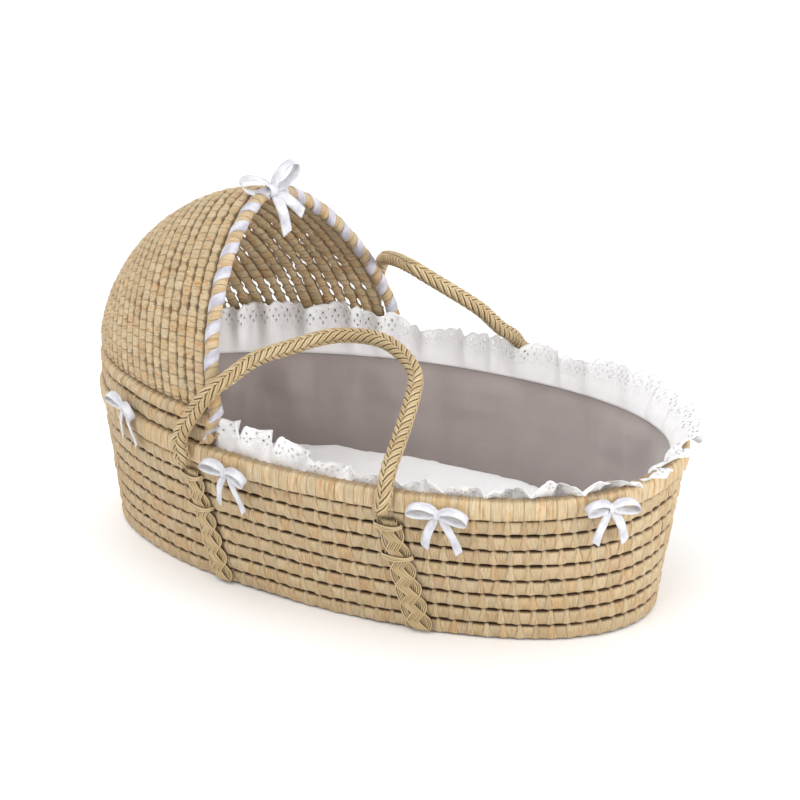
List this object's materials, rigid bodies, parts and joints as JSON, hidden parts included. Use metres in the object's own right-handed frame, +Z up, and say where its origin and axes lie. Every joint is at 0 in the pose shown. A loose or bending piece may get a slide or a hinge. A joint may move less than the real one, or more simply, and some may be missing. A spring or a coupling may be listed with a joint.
{
  "type": "baby cradle",
  "caption": "Oval woven husk basket cradle with a fixed arched hood, two folding braided carry handles, padded liner with eyelet ruffle, satin bows and a lift-out mattress.",
  "frame": {"origin": "middle of the basket's flat underside", "axes": "+X towards the foot end, +Y towards the far side, +Z up"},
  "size_m": [0.8124, 0.5239, 0.4959],
  "materials": {
    "husk": "dried corn husk wrapped rows, matte, pale straw to golden tan",
    "rope": "plaited husk rope, slightly glossy straw",
    "satin": "white satin ribbon",
    "liner": "soft taupe grey cotton sateen",
    "foam": "off-white foam",
    "sheet": "white cotton",
    "lace": "white eyelet cotton"
  },
  "bodies": {
    "basket": {"base_mat": "husk", "wall_weave": "husk", "rim_row": "husk", "hood_collar_row": "husk", "hood_seam_coil": "husk", "hood_weave": "husk", "hood_hoop": "husk", "hood_hoop_ribbon": "satin", "liner": "liner", "ruffle": "lace", "hood_bow": "satin", "strap_near_head": "rope", "strap_near_foot": "rope", "strap_far_head": "rope", "strap_far_foot": "rope", "tie_near_head_upper": "rope", "tie_near_head_lower": "rope", "tie_near_foot_upper": "rope", "tie_near_foot_lower": "rope", "tie_far_head_upper": "rope", "tie_far_head_lower": "rope", "tie_far_foot_upper": "rope", "tie_far_foot_lower": "rope", "side_bow_near_1": "satin", "side_bow_near_2": "satin", "side_bow_near_3": "satin", "side_bow_near_4": "satin", "side_bow_far_1": "satin", "side_bow_far_2": "satin", "side_bow_far_3": "satin", "side_bow_far_4": "satin"},
    "handle_near": {"handle_near": "rope"},
    "handle_far": {"handle_far": "rope"},
    "mattress": {"mattress_pad": "foam", "fitted_sheet": "sheet"}
  },
  "joints": [
    {"name": "near_handle_hinge", "type": "hinge", "parent": "basket", "child": "handle_near", "pos_m": [0.01, -0.24278, 0.178], "axis": [0.9986, -0.0524, 0], "range_deg": [0, 175]},
    {"name": "far_handle_hinge", "type": "hinge", "parent": "basket", "child": "handle_far", "pos_m": [-0.015, 0.24543, 0.178], "axis": [-0.9962, -0.0865, 0], "range_deg": [0, 175]},
    {"name": "mattress_lift", "type": "slide", "parent": "basket", "child": "mattress", "axis": [0, 0, 1], "range_m": [0, 0.12]}
  ]
}
